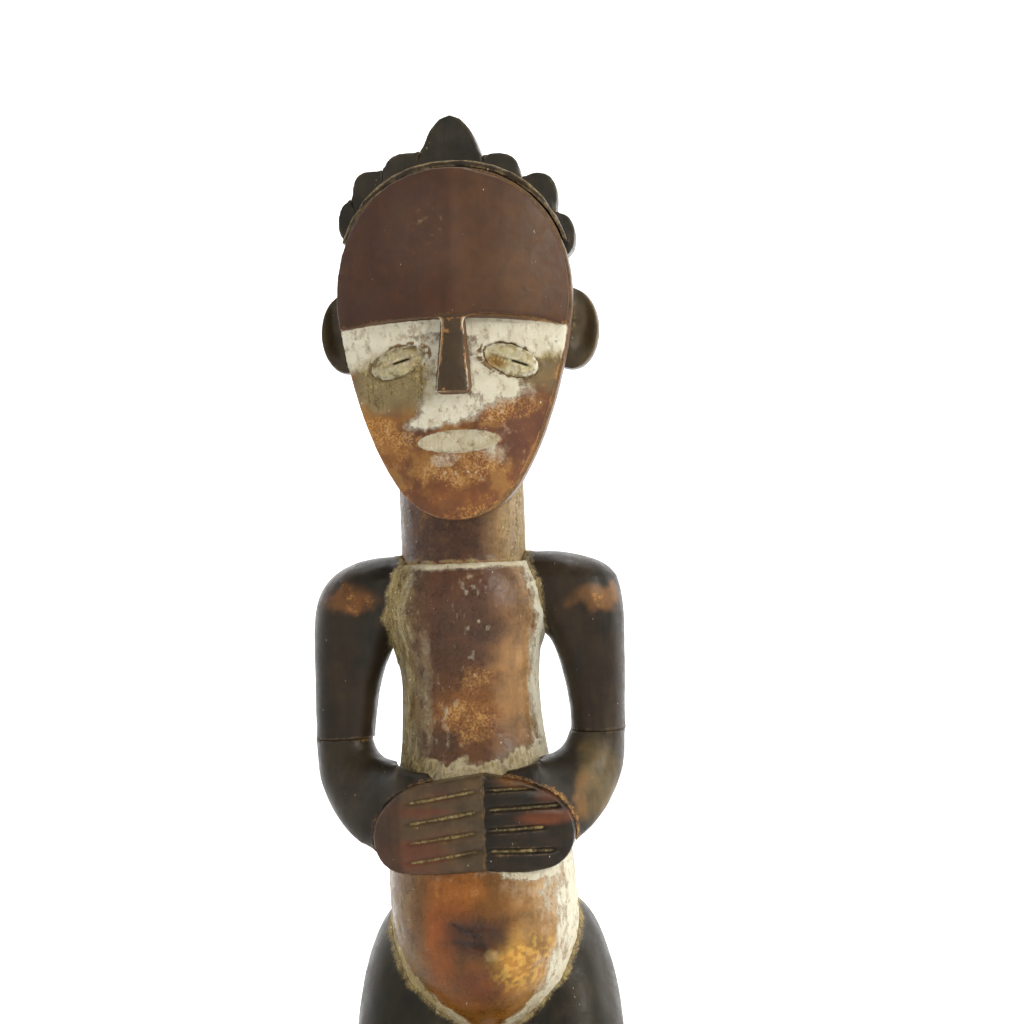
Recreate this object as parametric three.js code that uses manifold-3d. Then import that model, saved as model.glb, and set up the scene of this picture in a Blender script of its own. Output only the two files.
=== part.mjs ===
// A carved wooden fertility figure, about 57 cm tall, standing on a round base.
// It is put together from separately carved blocks that are pegged with dowels: a head with a face board and
// rows of hair, a neck post, a barrel torso, bent arms whose hands meet on the belly, and short heavy legs.
// Millimetres, +Z up. The figure faces -Y, its own left side is +X, and the origin is the centre of its underside.
import * as THREE from "three";
import { mergeVertices } from "three/addons/utils/BufferGeometryUtils.js";
import Module from "manifold-3d";

const wasm = await Module();
wasm.setup();

// ---- Driving dimensions ----
const GAP = 0.3; // clearance between neighbouring pieces
const FIGURE_Y = 8; // the body's axis stands this far behind the centre of the base
const SWAY = 4; // the chest and head stand this far to the figure's right of the legs
const BASE_RADIUS = 64;
const BASE_TOP = 20;
const KNEE_Z = 104;
const ELBOW_Z = 294.6;
const CHEST_TOP = 371;
const NECK = { radius: 28.2, y: 3, top: 430 }; // its top is let into the head block

// ---- The head has a frame of its own, with its origin on the neck's axis at chin height ----
const HEAD = { x: 1.6, z: 395, turn: -1.5, tilt: 1 }; // set a little off the body's axis; turn and tilt in degrees
const BOARD_BACK = -22; // the face board's rear plane, where the head block starts
const BROW_Z = 84;
const TEMPLE = { x: 52, z: 90 }; // the widest point of the face board
const CHIN_Z = -4.5;
const FOREHEAD_TOP = 150;
const SKULL = { z: 84, halfWidth: 50.5, halfHeight: 64, halfDepth: 47 };
const EYE = { x: 24, y: -45.2, z: 65, tilt: 18, seat: -42.6 };
const MOUTH = { y: -53.5, z: 30 };
const EAR = { x: 50, z: 80, width: 12.5, height: 18.7, front: -17, back: -1 };

const X = new THREE.Vector3(1, 0, 0);
const Y = new THREE.Vector3(0, 1, 0);
const Z = new THREE.Vector3(0, 0, 1);
const SIDES = { left: 1, right: -1 };

// ---- Solids ----

// A closed geometry as a manifold-3d solid, turned the right way out.
function solid(geometry) {
  const bare = geometry.clone();
  bare.deleteAttribute("normal");
  bare.deleteAttribute("uv");
  const merged = mergeVertices(bare, 1e-4);
  const triVerts = new Uint32Array(merged.index.array);
  const vertProperties = new Float32Array(merged.attributes.position.array);
  const made = new wasm.Manifold(new wasm.Mesh({ numProp: 3, vertProperties, triVerts }));
  if (made.volume() > 0) return made;
  for (let i = 0; i < triVerts.length; i += 3)
    [triVerts[i + 1], triVerts[i + 2]] = [triVerts[i + 2], triVerts[i + 1]];
  return new wasm.Manifold(new wasm.Mesh({ numProp: 3, vertProperties, triVerts }));
}

// A manifold-3d solid as a three.js geometry.
function geometryOf(made) {
  const mesh = made.getMesh();
  const geometry = new THREE.BufferGeometry();
  geometry.setAttribute("position", new THREE.BufferAttribute(new Float32Array(mesh.vertProperties), 3));
  geometry.setIndex(new THREE.BufferAttribute(new Uint32Array(mesh.triVerts), 1));
  geometry.computeVertexNormals();
  return geometry;
}

// The frames that a ring can stand in: the directions of its two half sizes, given the way the rings advance.
const level = () => [X, Y];
const upright = () => [X, Z];
const overHead = (ahead) => [X, ahead.clone().cross(X).normalize()];
const roundElbow = (ahead) => [Y.clone().cross(ahead).normalize(), Y];

// A carved block: rings strung on a smooth curve and closed at both ends. Each key is [x, y, z, half, half], a ring's
// centre and its two half sizes. Power 2 is an ellipse and more is squarer, and taper narrows the ring's lower half.
// grow makes the cutter that leaves a clearance all round the block.
function loft(keys, { sides = 24, steps = 1, power = 2, taper = 0, frame = level, grow = 0 } = {}) {
  const tube = new THREE.CylinderGeometry(1, 1, 1, sides, (keys.length - 1) * steps);
  tube.deleteAttribute("normal");
  tube.deleteAttribute("uv");
  const geometry = mergeVertices(tube, 1e-4);
  const centres = new THREE.CatmullRomCurve3(keys.map(([x, y, z]) => new THREE.Vector3(x, y, z)));
  const sizes = new THREE.CatmullRomCurve3(keys.map(([, , , u, v]) => new THREE.Vector3(u, v, 0)));
  const superellipse = (c) => Math.sign(c) * Math.abs(c) ** (2 / power);
  const positions = geometry.attributes.position;
  const point = new THREE.Vector3();
  for (let i = 0; i < positions.count; i += 1) {
    point.fromBufferAttribute(positions, i);
    const t = THREE.MathUtils.clamp(point.y + 0.5, 0, 1);
    const onRim = Math.hypot(point.x, point.z) > 0.5 ? 1 : 0;
    const angle = Math.atan2(-point.z, point.x);
    const ahead = centres.getPoint(Math.min(1, t + 1e-3)).sub(centres.getPoint(Math.max(0, t - 1e-3))).normalize();
    const [u, v] = frame(ahead);
    const half = sizes.getPoint(t);
    const place = centres.getPoint(t);
    const across = superellipse(Math.cos(angle));
    const along = superellipse(Math.sin(angle));
    place.addScaledVector(u, onRim * (half.x + grow) * across * (1 + taper * Math.min(0, along)));
    place.addScaledVector(v, onRim * (half.y + grow) * along);
    if (t < 1e-6) place.addScaledVector(ahead, -grow);
    if (t > 1 - 1e-6) place.addScaledVector(ahead, grow);
    positions.setXYZ(i, place.x, place.y, place.z);
  }
  return solid(geometry);
}

// A round dowel between two points. With grow it is the cutter for its hole.
function dowel([from, to, radius], grow = 0) {
  const a = new THREE.Vector3(...from);
  const b = new THREE.Vector3(...to);
  const rod = new THREE.CylinderGeometry(radius + grow, radius + grow, a.distanceTo(b) + 2 * grow, 12);
  rod.applyQuaternion(new THREE.Quaternion().setFromUnitVectors(Y, b.clone().sub(a).normalize()));
  const middle = a.add(b).multiplyScalar(0.5);
  rod.translate(middle.x, middle.y, middle.z);
  return solid(rod);
}

// A block from lower(x) to upper(x) in height and from front(x, z) to back in depth. Its half width may change
// with the share of the height.
function slab({ half, lower, upper, back, front, columns = 12, rows = 6 }) {
  const box = new THREE.BoxGeometry(1, 1, 1, columns, 1, rows);
  const positions = box.attributes.position;
  for (let i = 0; i < positions.count; i += 1) {
    const share = positions.getZ(i) + 0.5;
    const x = 2 * positions.getX(i) * half(share);
    const z = THREE.MathUtils.lerp(lower(x), upper(x), share);
    positions.setXYZ(i, x, positions.getY(i) > 0 ? back : front(x, z), z);
  }
  return solid(box);
}

// A plate with its outline drawn in X and Z, standing from front to back in Y.
function plate(shape, front, back, curveSegments = 8) {
  const geometry = new THREE.ExtrudeGeometry(shape, { depth: back - front, bevelEnabled: false, curveSegments });
  geometry.rotateX(Math.PI / 2);
  geometry.translate(0, back, 0);
  return solid(geometry);
}

// An ellipsoid, turned by tilt degrees as seen from the front.
function lens(centre, radii, tilt = 0) {
  const ball = new THREE.SphereGeometry(1, 16, 10);
  ball.scale(...radii);
  ball.rotateY(THREE.MathUtils.degToRad(tilt));
  ball.translate(...centre);
  return solid(ball);
}

const mirrored = (keys, side, middle = 0) => keys.map(([x, ...rest]) => [middle + side * x, ...rest]);
const keepBelow = (piece, z) => piece.trimByPlane([0, 0, -1], -z);
const keepAbove = (piece, z) => piece.trimByPlane([0, 0, 1], z);
const without = (piece, ...cutters) => cutters.reduce((left, cutter) => left.subtract(cutter), piece);
const largest = (piece) => piece.decompose().sort((a, b) => b.volume() - a.volume())[0];

// ---- Torso: chest, waist, belly and the wedge between the thighs, in one block ----
const TORSO = [
  [SWAY, 0, 159, 8, 16],
  [SWAY, -2, 166, 14, 24],
  [SWAY, -5, 175, 25, 32],
  [SWAY, -6.5, 187, 35, 38],
  [SWAY, -7, 203, 40.2, 42],
  [SWAY * 0.9, -7, 221, 42.2, 43.5],
  [SWAY * 0.75, -5, 243, 41.5, 42],
  [SWAY * 0.5, -2, 265, 37, 37.5],
  [1.6, 1, 287, 33.2, 31.5],
  [1, 2, 304, 31.6, 29.5],
  [1, 2, 320, 31, 29.5],
  [0.5, 2, 334, 33.2, 31.5],
  [0, 2, 349, 37.2, 33],
  [0, 2.5, 362, 35, 31.5],
  [0, 3, CHEST_TOP, 30, 29],
];
const torso = (grow = 0) => loft(TORSO, { sides: 28, power: 2.2, grow });

function neck(grow = 0) {
  const bottom = CHEST_TOP + GAP;
  const tall = NECK.top - bottom;
  const post = new THREE.CylinderGeometry(NECK.radius + grow, NECK.radius + grow, tall + 2 * grow, 28);
  post.rotateX(Math.PI / 2);
  post.translate(0, NECK.y, bottom + tall / 2);
  return solid(post);
}

// ---- Arms. The two shoulders differ a little; both are drawn with x towards the figure's outside ----
const UPPER_ARM = {
  left: [
    [57.6, 0.5, 290, 12.4, 16.5],
    [57.6, 0.5, 303, 12.5, 17],
    [57.1, 1, 318, 14, 17.5],
    [55.2, 1.5, 333, 16.2, 18.5],
    [51.8, 2, 346, 20, 20],
    [48.7, 2.5, 357, 22.2, 20.5],
    [47, 2.9, 364.5, 22.3, 19.3],
    [44.2, 3.3, 369, 20.9, 17.2],
    [39.8, 3.5, 372, 18, 15],
    [33.5, 4, 375.8, 10.5, 8],
  ],
  right: [
    [56, 0.5, 290, 13.5, 16.5],
    [55.8, 0.5, 303, 14, 17],
    [54.6, 1, 318, 15, 17.5],
    [51.8, 1.5, 333, 17.7, 18.5],
    [49.5, 2, 346, 19.8, 20],
    [46.5, 2.5, 357, 21.2, 20.5],
    [42.3, 3, 366, 20.3, 19],
    [37.2, 3.5, 371.8, 17.2, 15],
    [31.5, 4, 375.6, 10.5, 8],
  ],
};
const FOREARM = [
  [56.8, 1.6, 302, 13, 16.5],
  [56.8, 0.5, 293, 13, 16.5],
  [55.2, -3.5, 283.5, 14.8, 16],
  [50, -12, 275.5, 17.5, 14.5],
  [43, -22.5, 269.5, 20.5, 12.5],
  [36, -30, 266, 21, 10.5],
  [27, -35, 266, 18.5, 9.5],
  [14, -38, 268, 14, 7.5],
];
const HAND = { top: 280, bottom: 238.5, wrist: 44.3, middle: 2, seam: 6.8, front: -51.5, wrap: 10 };

function upperArm(side) {
  const keys = side > 0 ? UPPER_ARM.left : UPPER_ARM.right;
  return keepAbove(loft(mirrored(keys, side), { power: 2.4 }), ELBOW_Z + GAP);
}

const forearm = (side) =>
  keepBelow(loft(mirrored(FOREARM, side), { sides: 20, steps: 2, power: 2.4, frame: roundElbow }), ELBOW_Z);

// A hand is a paddle that wraps the belly. The two meet at a seam a little to the figure's left of the centre.
function hand(side, grow = 0) {
  const top = HAND.top + grow;
  const bottom = HAND.bottom - grow;
  const reach = HAND.wrist + side * HAND.middle + grow;
  const start = side * HAND.seam + GAP / 2 - grow;
  const middle = (top + bottom) / 2;
  const outline = new THREE.Shape();
  outline.moveTo(start, bottom);
  outline.bezierCurveTo(reach * 0.4, bottom - 1.5, reach * 0.62, bottom - 2.5, reach * 0.78, bottom - 0.5);
  outline.bezierCurveTo(reach * 0.93, bottom + 2, reach, bottom + 8, reach, bottom + 15);
  outline.bezierCurveTo(reach, top - 17, reach * 0.8, top - 7, reach * 0.5, top - 3.5);
  outline.lineTo(start, top);
  const wrapped = slab({
    half: () => reach + 2,
    lower: () => bottom - 4,
    upper: () => top + 4,
    back: -24,
    front: (x, z) => HAND.front - grow + HAND.wrap * (x / HAND.wrist) ** 2 + 3 * ((z - middle) / 26) ** 4,
    columns: 14,
    rows: 5,
  });
  const paddle = wrapped.intersect(plate(outline, -80, 0, 6));
  return side > 0 ? paddle : paddle.mirror([1, 0, 0]);
}

// ---- Legs: a thigh that reaches up over the hip, and a calf carved with its foot ----
const THIGH = [
  [33, -12.5, KNEE_Z, 18.5, 21],
  [33.2, -11, 115, 21.5, 24],
  [32.6, -7.5, 132, 26.5, 28],
  [32, -2.5, 150, 29, 30.5],
  [31.6, 3, 168, 28.8, 31],
  [31.5, 9, 186, 25.8, 31],
  [32, 12, 201, 20.8, 28],
  [33.5, 13, 212, 14, 21.5],
  [35, 13, 219, 7.5, 13],
];
const CALF = [
  [33, -1, BASE_TOP + 2, 11, 14],
  [33, 0, 38, 11.5, 13.5],
  [33, 2, 50, 15, 17.5],
  [33.2, 3, 64, 19.5, 22.5],
  [33.2, 0.5, 78, 19.5, 22],
  [33, -7, 92, 17.5, 19.5],
  [33, -12.5, KNEE_Z - GAP, 18.5, 21],
];
const FOOT = [
  [33, 22, BASE_TOP, 8, 9],
  [33, 17, BASE_TOP, 12, 16],
  [33, 4, BASE_TOP, 13.5, 21],
  [33.5, -12, BASE_TOP, 14.5, 17],
  [34, -28, BASE_TOP, 16, 11.5],
  [34.5, -41, BASE_TOP, 16.5, 8.5],
  [34.5, -46, BASE_TOP, 13.5, 6],
];

const thigh = (side) => loft(mirrored(THIGH, side, SWAY), { power: 2.15 });

function calf(side) {
  const shin = loft(mirrored(CALF, side, SWAY), { sides: 20, power: 2.1 });
  const foot = loft(mirrored(FOOT, side, SWAY), { sides: 20, power: 2.6, frame: upright });
  return keepAbove(shin.add(foot), BASE_TOP + GAP);
}

function base() {
  const profile = [
    [0, 0],
    [BASE_RADIUS - 2, 0],
    [BASE_RADIUS, 2.5],
    [BASE_RADIUS - 0.5, BASE_TOP - 5],
    [BASE_RADIUS - 2.5, BASE_TOP - 1],
    [BASE_RADIUS - 5, BASE_TOP],
    [0, BASE_TOP],
  ].map(([r, z]) => new THREE.Vector2(r, z));
  const disc = new THREE.LatheGeometry(profile, 40);
  disc.rotateX(Math.PI / 2);
  disc.translate(SWAY, -FIGURE_Y, 0);
  return solid(disc);
}

// ---- Face board ----

// The outline: a round forehead down to the temples, then jaws that close to the chin.
function faceOutline(grow = 0) {
  const x = TEMPLE.x + grow;
  const top = FOREHEAD_TOP + grow;
  const chin = CHIN_Z - grow;
  const rise = (top - TEMPLE.z) * 0.62;
  const shape = new THREE.Shape();
  shape.moveTo(0, chin);
  shape.bezierCurveTo(12 + grow, chin, 21 + grow, 2, 27 + grow, 11);
  shape.bezierCurveTo(36 + grow, 25, 47 + grow, 50, x, TEMPLE.z);
  shape.bezierCurveTo(x + 0.8, TEMPLE.z + rise, x * 0.6, top, 0, top);
  shape.bezierCurveTo(-x * 0.6, top, -x - 0.8, TEMPLE.z + rise, -x, TEMPLE.z);
  shape.bezierCurveTo(-47 - grow, 50, -36 - grow, 25, -27 - grow, 11);
  shape.bezierCurveTo(-21 - grow, 2, -12 - grow, chin, 0, chin);
  return shape;
}

const browLine = (x) => BROW_Z - 4.5 * (x / TEMPLE.x) ** 2;
const foreheadFront = (x, z) => -41 - 14.5 * (1 - (x / 55) ** 2 - (Math.max(0, z - BROW_Z) / 92) ** 2);

// The cheeks are cut back below the brow and come forward again towards the chin.
function cheekFront(x, z) {
  const jaw = THREE.MathUtils.mapLinear(THREE.MathUtils.clamp(z, CHIN_Z, BROW_Z), CHIN_Z, BROW_Z, 18, TEMPLE.x);
  const forward = 4.5 * THREE.MathUtils.smoothstep(BROW_Z - z, 0, 55);
  const underChin = 3.5 * THREE.MathUtils.clamp((8 - z) / 12, 0, 1) ** 2;
  return -47.5 - forward + underChin + 7.5 * Math.min(1.2, Math.abs(x) / jaw) ** 2.2;
}

function faceBoard() {
  const half = () => TEMPLE.x + 3;
  const forehead = slab({
    half,
    lower: browLine,
    upper: () => FOREHEAD_TOP + 6,
    back: BOARD_BACK,
    front: foreheadFront,
  });
  const cheeks = slab({
    half,
    lower: () => CHIN_Z - 4,
    upper: (x) => browLine(x) + 5,
    back: BOARD_BACK,
    front: cheekFront,
    rows: 9,
  });
  const nose = slab({
    half: (share) => THREE.MathUtils.lerp(7.6, 4.4, share),
    lower: () => 51,
    upper: () => BROW_Z + 1,
    back: -40,
    front: (x, z) => -59.5 + 0.13 * (z - 51) + 0.03 * x * x,
    columns: 4,
    rows: 1,
  });
  const board = forehead.add(cheeks).intersect(plate(faceOutline(), -90, 0, 9)).add(nose);
  const sockets = Object.values(SIDES).map((side) =>
    lens([side * EYE.x, EYE.y, EYE.z], [13.7, 4.7, 7.2], side * EYE.tilt),
  );
  return without(board, ...sockets, lens([0.5, MOUTH.y, MOUTH.z], [20, 4.6, 4.6], -2));
}

// A cowrie shell with its back ground flat, bedded in its socket with the slit side out.
const cowrie = (side) =>
  lens([side * EYE.x, EYE.y, EYE.z], [13.3, 4.3, 6.8], side * EYE.tilt).trimByPlane([0, -1, 0], -EYE.seat);

// ---- Head block, hair and ears ----

// Full behind the face board and domed at the back.
function skull(grow = 0) {
  const { z, halfWidth, halfHeight, halfDepth } = SKULL;
  const keys = [BOARD_BACK + GAP, 0, 12, 23, 32, 39, 44, 46.4].map((y) => {
    const share = Math.sqrt(1 - (Math.max(0, y) / halfDepth) ** 2);
    return [0, y, z, halfWidth * share, halfHeight * share];
  });
  return loft(keys, { sides: 28, power: 2.25, taper: 0.3, frame: upright, grow });
}

// Rows of hair run from the face board over the head to the nape, one crest on top and three rows on each side.
// front is the x and z of a row's front end, half its half width, tall how far it stands out, and end the angle
// over the head, in degrees, where it stops.
const CREST = { front: [-2, 148], half: 15, tall: 28.5, power: 1.9, end: 118 };
const HAIR_ROWS = {
  left: [
    { front: [18.8, 149], half: 10.5, tall: 10, power: 2.5, end: 122 },
    { front: [36.3, 138.6], half: 9.6, tall: 11.4, power: 2.3, end: 122 },
    { front: [45, 121], half: 8.4, tall: 10.6, power: 2.2, end: 118 },
  ],
  right: [
    { front: [20.4, 149.5], half: 12, tall: 10.8, power: 2.6, end: 122 },
    { front: [36.3, 141.8], half: 10.4, tall: 10.8, power: 2.5, end: 122 },
    { front: [44.4, 129], half: 9, tall: 10.8, power: 2.3, end: 118 },
  ],
};

function hairRow({ front: [x, z], half, tall, power, end }, side = 1, grow = 0) {
  const share = (z - SKULL.z) / SKULL.halfHeight;
  const angles = [0, 25, 50, 75, 100, end];
  const keys = angles.map((angle, i) => {
    const back = i / (angles.length - 1);
    const last = i === angles.length - 1 ? 0.5 : 1;
    const turn = THREE.MathUtils.degToRad(angle);
    return [
      side * x * (1 - 0.35 * back),
      (SKULL.halfDepth + 1) * share * Math.sin(turn),
      SKULL.z + SKULL.halfHeight * share * Math.cos(turn),
      half * (1 - 0.4 * back) * last,
      THREE.MathUtils.lerp(tall, 7, Math.sqrt(back)) * last,
    ];
  });
  keys.unshift([side * x, BOARD_BACK + GAP, z, half, tall]);
  return loft(keys, { sides: 18, power, frame: overHead, grow });
}

// A thin arched strip between the forehead's edge and the hair.
function hairBand() {
  const ends = 118;
  const arch = faceOutline(GAP);
  const outer = new THREE.Shape();
  outer.moveTo(TEMPLE.x + 2, TEMPLE.z - 5);
  outer.bezierCurveTo(TEMPLE.x + 3, TEMPLE.z + 41, 33, FOREHEAD_TOP + 4, 0, FOREHEAD_TOP + 4);
  outer.bezierCurveTo(-33, FOREHEAD_TOP + 4, -TEMPLE.x - 3, TEMPLE.z + 41, -TEMPLE.x - 2, TEMPLE.z - 5);
  const strip = plate(outer, -38, BOARD_BACK, 10).subtract(plate(arch, -60, 0, 9));
  return keepAbove(strip, ends);
}

// An upright half oval beside the head, hollowed in front.
function ear(side) {
  const { x, z, width, height, front, back } = EAR;
  const oval = new THREE.Shape().absellipse(side * x, z, width, height, 0, 2 * Math.PI);
  return plate(oval, front, back, 14).subtract(lens([side * (x + 4.7), front, z + 1], [5.2, 5, 13]));
}

// ---- Dowels: [from, to, radius] ----
const neckPeg = [[0, NECK.y, 350], [0, NECK.y, 396], 8];
const shoulderPeg = (side) => [[side * 16, 1, 354], [side * 56, 1, 354], 6];
const elbowPeg = (side) => [[side * 56, 0.5, 278], [side * 56, 0.5, 314], 5];
const wristPeg = (side) => [[side * 50.5, -22, 262], [side * 37, -36, 261], 3];
const handPeg = (side) => [[side * 20, -46, 259], [side * 20, -16, 259], 3];
const hipPeg = (side) => [[SWAY + side * 14, 8, 201], [SWAY + side * 47, 8, 201], 5];
const kneePeg = (side) => [[SWAY + side * 33, -11, 86], [SWAY + side * 33, -11, 122], 5];
const anklePeg = (side) => [[SWAY + side * 33, 0, 6], [SWAY + side * 33, 0, 42], 4.5];
const upperFacePeg = [[0, -36, 118], [0, 2, 118], 4];
const lowerFacePeg = [[0, -36, 48], [0, 2, 48], 4];
const earPeg = (side) => [[side * 43, -6.5, 80], [side * 55, -6.5, 80], 2];
const hole = (peg) => dowel(peg, GAP);

// ---- Assembly ----
const wood = (color, roughness = 0.6) => new THREE.MeshStandardMaterial({ color, roughness, metalness: 0 });
const MATERIALS = {
  dark: wood(0x3a302a),
  ochre: wood(0x6e4a36),
  body: wood(0x7a5638),
  shell: wood(0xcbbd98, 0.5),
  peg: wood(0xb08a5a, 0.8),
  base: wood(0x46382d, 0.7),
};

const figure = new THREE.Group();
const head = new THREE.Group();
figure.position.set(-SWAY, FIGURE_Y, 0);
head.position.set(HEAD.x, NECK.y, HEAD.z);
head.rotation.set(0, THREE.MathUtils.degToRad(HEAD.tilt), THREE.MathUtils.degToRad(HEAD.turn));
head.updateMatrix();
figure.add(head);

function add(group, name, material, piece) {
  const mesh = new THREE.Mesh(geometryOf(piece), material);
  mesh.name = name;
  group.add(mesh);
}

const bothSides = (peg) => Object.values(SIDES).map((side) => hole(peg(side)));

add(figure, "base", MATERIALS.base, without(base(), ...bothSides(anklePeg)));
add(
  figure,
  "torso",
  MATERIALS.body,
  without(torso(), hole(neckPeg), ...bothSides(shoulderPeg), ...bothSides(handPeg), ...bothSides(hipPeg)),
);
add(figure, "neck", MATERIALS.body, neck().subtract(hole(neckPeg)));
add(figure, "neck_peg", MATERIALS.peg, dowel(neckPeg));

for (const [word, side] of Object.entries(SIDES)) {
  const pegs = { shoulderPeg, elbowPeg, wristPeg, handPeg, hipPeg, kneePeg, anklePeg };
  const cut = Object.fromEntries(Object.entries(pegs).map(([name, peg]) => [name, hole(peg(side))]));
  const cutTorso = torso(GAP);
  add(
    figure,
    `upper_arm_${word}`,
    MATERIALS.dark,
    largest(without(upperArm(side), cutTorso, neck(GAP), cut.shoulderPeg, cut.elbowPeg)),
  );
  add(
    figure,
    `forearm_${word}`,
    MATERIALS.dark,
    largest(without(forearm(side), cutTorso, hand(side, GAP), cut.elbowPeg, cut.wristPeg)),
  );
  add(figure, `hand_${word}`, MATERIALS.dark, largest(without(hand(side), cutTorso, cut.wristPeg, cut.handPeg)));
  add(figure, `thigh_${word}`, MATERIALS.dark, largest(without(thigh(side), cutTorso, cut.hipPeg, cut.kneePeg)));
  add(figure, `calf_${word}`, MATERIALS.dark, without(calf(side), cut.kneePeg, cut.anklePeg));
  add(figure, `shoulder_peg_${word}`, MATERIALS.peg, dowel(shoulderPeg(side)));
  add(figure, `elbow_peg_${word}`, MATERIALS.peg, dowel(elbowPeg(side)));
  add(figure, `wrist_peg_${word}`, MATERIALS.peg, dowel(wristPeg(side)));
  add(figure, `hand_peg_${word}`, MATERIALS.peg, dowel(handPeg(side)));
  add(figure, `hip_peg_${word}`, MATERIALS.peg, dowel(hipPeg(side)));
  add(figure, `knee_peg_${word}`, MATERIALS.peg, dowel(kneePeg(side)));
  add(figure, `ankle_peg_${word}`, MATERIALS.peg, dowel(anklePeg(side)));
}

const neckSocket = neck(GAP).transform(head.matrix.clone().invert().elements);
const facePegHoles = [hole(upperFacePeg), hole(lowerFacePeg)];
add(head, "skull", MATERIALS.dark, without(skull(), neckSocket, ...facePegHoles, ...bothSides(earPeg)));
add(head, "face_board", MATERIALS.ochre, without(faceBoard(), neckSocket, ...facePegHoles));
add(head, "face_peg_upper", MATERIALS.peg, dowel(upperFacePeg));
add(head, "face_peg_lower", MATERIALS.peg, dowel(lowerFacePeg));
add(head, "hair_band", MATERIALS.dark, hairBand());
add(head, "hair_crest", MATERIALS.dark, largest(hairRow(CREST).subtract(skull(GAP))));
for (const [word, side] of Object.entries(SIDES)) {
  HAIR_ROWS[word].forEach((row, i, rows) => {
    const above = i === 0 ? hairRow(CREST, 1, GAP) : hairRow(rows[i - 1], side, GAP);
    const strand = largest(without(hairRow(row, side), skull(GAP), above));
    add(head, `hair_row_${word}_${i + 1}`, MATERIALS.dark, strand);
  });
  add(head, `ear_${word}`, MATERIALS.dark, largest(without(ear(side), skull(GAP), hole(earPeg(side)))));
  add(head, `ear_peg_${word}`, MATERIALS.peg, dowel(earPeg(side)));
  add(head, `cowrie_eye_${word}`, MATERIALS.shell, cowrie(side));
}

export default figure;
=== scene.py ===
"""Looks of a carved fertility figure.

Every wooden block of the CAD frame is carved again as a fine mesh with knife marks, grooves, crust and worn edges, and
painted with clay, ochre and dark stain. Carving is in millimetres, and Block.normals writes the points back in metres.
"""

import math

import bmesh
import bpy
import numpy as np
from mathutils import Matrix, Vector
from mathutils.bvhtree import BVHTree
from mathutils.kdtree import KDTree


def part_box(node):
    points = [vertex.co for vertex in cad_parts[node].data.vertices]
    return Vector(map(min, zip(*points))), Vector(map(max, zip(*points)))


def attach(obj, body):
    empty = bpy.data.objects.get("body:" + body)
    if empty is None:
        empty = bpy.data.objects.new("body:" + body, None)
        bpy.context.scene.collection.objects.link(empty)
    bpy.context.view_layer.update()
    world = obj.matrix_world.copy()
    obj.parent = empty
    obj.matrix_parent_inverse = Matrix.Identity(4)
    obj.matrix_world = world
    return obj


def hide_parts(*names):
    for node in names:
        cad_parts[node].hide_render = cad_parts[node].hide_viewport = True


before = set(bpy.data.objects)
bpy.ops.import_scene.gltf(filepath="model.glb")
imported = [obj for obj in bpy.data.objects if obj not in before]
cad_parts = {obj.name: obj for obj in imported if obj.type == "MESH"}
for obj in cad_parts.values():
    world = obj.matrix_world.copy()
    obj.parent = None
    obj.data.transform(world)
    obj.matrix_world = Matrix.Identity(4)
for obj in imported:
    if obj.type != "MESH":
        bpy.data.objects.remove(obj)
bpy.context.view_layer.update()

MM = 0.001  # in metres

# ---- The frames that the CAD pieces were drawn in ----
FIGURE = np.array([-4.0, 8.0, 0.0])  # the chest's axis, in the row frame
HEAD = np.array([1.6, 3.0, 395.0])  # the head's origin, in the figure's frame
HEAD_TURN = math.radians(-1.5)
HEAD_TILT = math.radians(1.0)
HEAD_AXES = np.array(Matrix.Rotation(HEAD_TILT, 3, "Y") @ Matrix.Rotation(HEAD_TURN, 3, "Z"))
LEGS_X = 4.0  # the legs' middle, in the figure's frame
ANKLE_X = 33.0  # from the legs' middle to each ankle
ELBOW_Z = 295.0  # the seam between upper arm and forearm
HANDS_X = 6.8  # the seam between the hands
SIDES = {"left": 1.0, "right": -1.0}


# ---- Numbers: noise and soft masks ----
def lattice(cell, seed):
    """A fixed number from 0 to 1 for each whole-numbered cell, from a hash of its place and the seed."""
    h = (cell[:, 0] * 374761393 + cell[:, 1] * 668265263 + cell[:, 2] * 1440662683 + seed * 1274126177) & 0xFFFFFFFF
    h = ((h ^ (h >> 13)) * 1274126177) & 0xFFFFFFFF
    return ((h ^ (h >> 16)) & 0xFFFFFF) / 0xFFFFFF


def noise(p, size, seed=0):
    """Smooth value noise from 0 to 1, with features about size mm across. size may differ along the axes."""
    q = p / np.asarray(size, float)
    cell = np.floor(q).astype(np.int64)
    f = q - cell
    w = f * f * f * (f * (f * 6 - 15) + 10)
    total = np.zeros(len(p))
    for corner in range(8):
        pick = np.array([corner & 1, corner >> 1 & 1, corner >> 2 & 1])
        weight = np.prod(np.where(pick, w, 1 - w), axis=1)
        total += weight * lattice(cell + pick, seed)
    return total


def rough(p, size, seed=0, octaves=4):
    """Noise with ever finer detail, from 0 to 1."""
    total, share, weight = np.zeros(len(p)), 0.0, 1.0
    for octave in range(octaves):
        total += weight * noise(p, np.asarray(size, float) / 2**octave, seed + 17 * octave)
        share += weight
        weight *= 0.55
    return total / share


def step(value, low, high):
    """0 below low, 1 above high and a smooth ramp between."""
    t = np.clip((value - low) / (high - low), 0, 1)
    return t * t * (3 - 2 * t)


def oval(x, z, centre, radii, turn=0.0):
    """1 at the centre of an oval, 0.5 on its outline and 0 well outside."""
    c, s = math.cos(math.radians(turn)), math.sin(math.radians(turn))
    dx, dz = x - centre[0], z - centre[1]
    along, across = dx * c + dz * s, dz * c - dx * s
    r = np.hypot(along / radii[0], across / radii[1])
    return 1 - step(r, 0.5, 1.5)


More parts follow.
